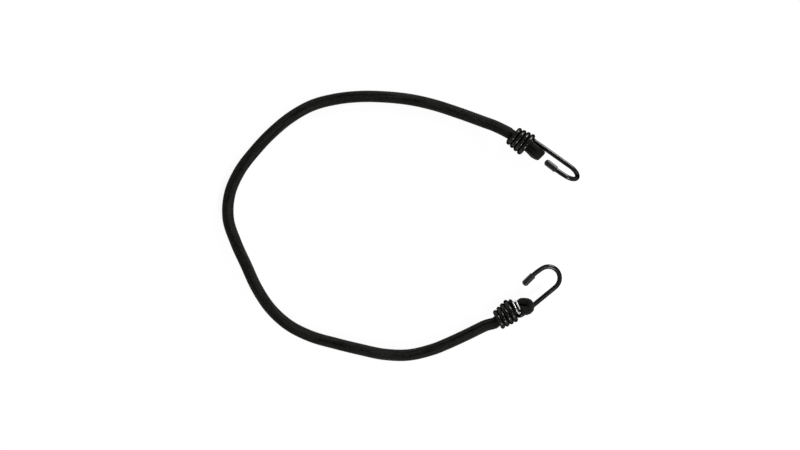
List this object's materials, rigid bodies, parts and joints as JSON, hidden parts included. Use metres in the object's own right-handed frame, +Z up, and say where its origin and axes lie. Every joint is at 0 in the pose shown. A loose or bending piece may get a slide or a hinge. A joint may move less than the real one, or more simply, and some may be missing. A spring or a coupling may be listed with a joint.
{
  "type": "bungee cord",
  "caption": "Elastic tie-down cord in a black braided jacket, lying in an open ring, with a coiled wire hook clipped on at each end.",
  "frame": {"origin": "on the surface that the cord lies on, under the middle of its outline seen from above", "axes": "+Z up from that surface; +X towards the hooks, from the closed side of the ring to its gap; +Y across the ring towards end a"},
  "size_m": [0.2626, 0.1996, 0.0227],
  "materials": {
    "braided_jacket": "tight woven polyester braid, matt with a faint sheen",
    "rubber_strand": "natural latex, matt",
    "hook_wire": "glossy black coating on drawn steel wire",
    "tip_cap": "dipped soft vinyl, satin",
    "clip_wire": "bright zinc-plated wire"
  },
  "bodies": {
    "cord_b": {"jacket_run_b": "braided_jacket", "strand_run_b_1": "rubber_strand", "strand_run_b_2": "rubber_strand", "strand_run_b_3": "rubber_strand", "strand_run_b_4": "rubber_strand"},
    "cord_a": {"jacket_run_a": "braided_jacket", "strand_run_a_1": "rubber_strand", "strand_run_a_2": "rubber_strand", "strand_run_a_3": "rubber_strand", "strand_run_a_4": "rubber_strand"},
    "neck_a": {"jacket_neck_a": "braided_jacket", "strand_neck_a_1": "rubber_strand", "strand_neck_a_2": "rubber_strand", "strand_neck_a_3": "rubber_strand", "strand_neck_a_4": "rubber_strand"},
    "neck_b": {"jacket_neck_b": "braided_jacket", "strand_neck_b_1": "rubber_strand", "strand_neck_b_2": "rubber_strand", "strand_neck_b_3": "rubber_strand", "strand_neck_b_4": "rubber_strand"},
    "end_a": {"jacket_loop_a": "braided_jacket", "strand_loop_a_1": "rubber_strand", "strand_loop_a_2": "rubber_strand", "strand_loop_a_3": "rubber_strand", "strand_loop_a_4": "rubber_strand", "clip_a": "clip_wire", "hook_a": "hook_wire", "tip_cap_a": "tip_cap"},
    "end_b": {"jacket_loop_b": "braided_jacket", "strand_loop_b_1": "rubber_strand", "strand_loop_b_2": "rubber_strand", "strand_loop_b_3": "rubber_strand", "strand_loop_b_4": "rubber_strand", "clip_b": "clip_wire", "hook_b": "hook_wire", "tip_cap_b": "tip_cap"}
  },
  "joints": [
    {"name": "cord_stretch", "type": "slide", "parent": "cord_b", "child": "cord_a", "axis": [0, 1, 0], "range_m": [0, 0.26], "stiffness_N_per_m": 300},
    {"name": "end_a_swing", "type": "hinge", "parent": "cord_a", "child": "neck_a", "pos_m": [0.0537, 0.07996, 0.00386], "axis": [0, 0, 1], "range_deg": [-15, 60], "stiffness_Nm_per_rad": 0.006, "deforming": ["jacket_neck_a", "strand_neck_a_1", "strand_neck_a_2", "strand_neck_a_3", "strand_neck_a_4"]},
    {"name": "hook_a_twist", "type": "hinge", "parent": "neck_a", "child": "end_a", "pos_m": [0.08061, 0.06783, 0.0085], "axis": [0.8297, -0.5575, 0.0279], "range_deg": [-180, 180], "stiffness_Nm_per_rad": 0.0005},
    {"name": "end_b_swing", "type": "hinge", "parent": "cord_b", "child": "neck_b", "pos_m": [0.04375, -0.08303, 0.00472], "axis": [0, 0, -1], "range_deg": [-15, 60], "stiffness_Nm_per_rad": 0.006, "deforming": ["jacket_neck_b", "strand_neck_b_1", "strand_neck_b_2", "strand_neck_b_3", "strand_neck_b_4"]},
    {"name": "hook_b_twist", "type": "hinge", "parent": "neck_b", "child": "end_b", "pos_m": [0.07044, -0.07048, 0.00909], "axis": [0.8089, 0.5877, 0.014], "range_deg": [-180, 180], "stiffness_Nm_per_rad": 0.0005}
  ]
}
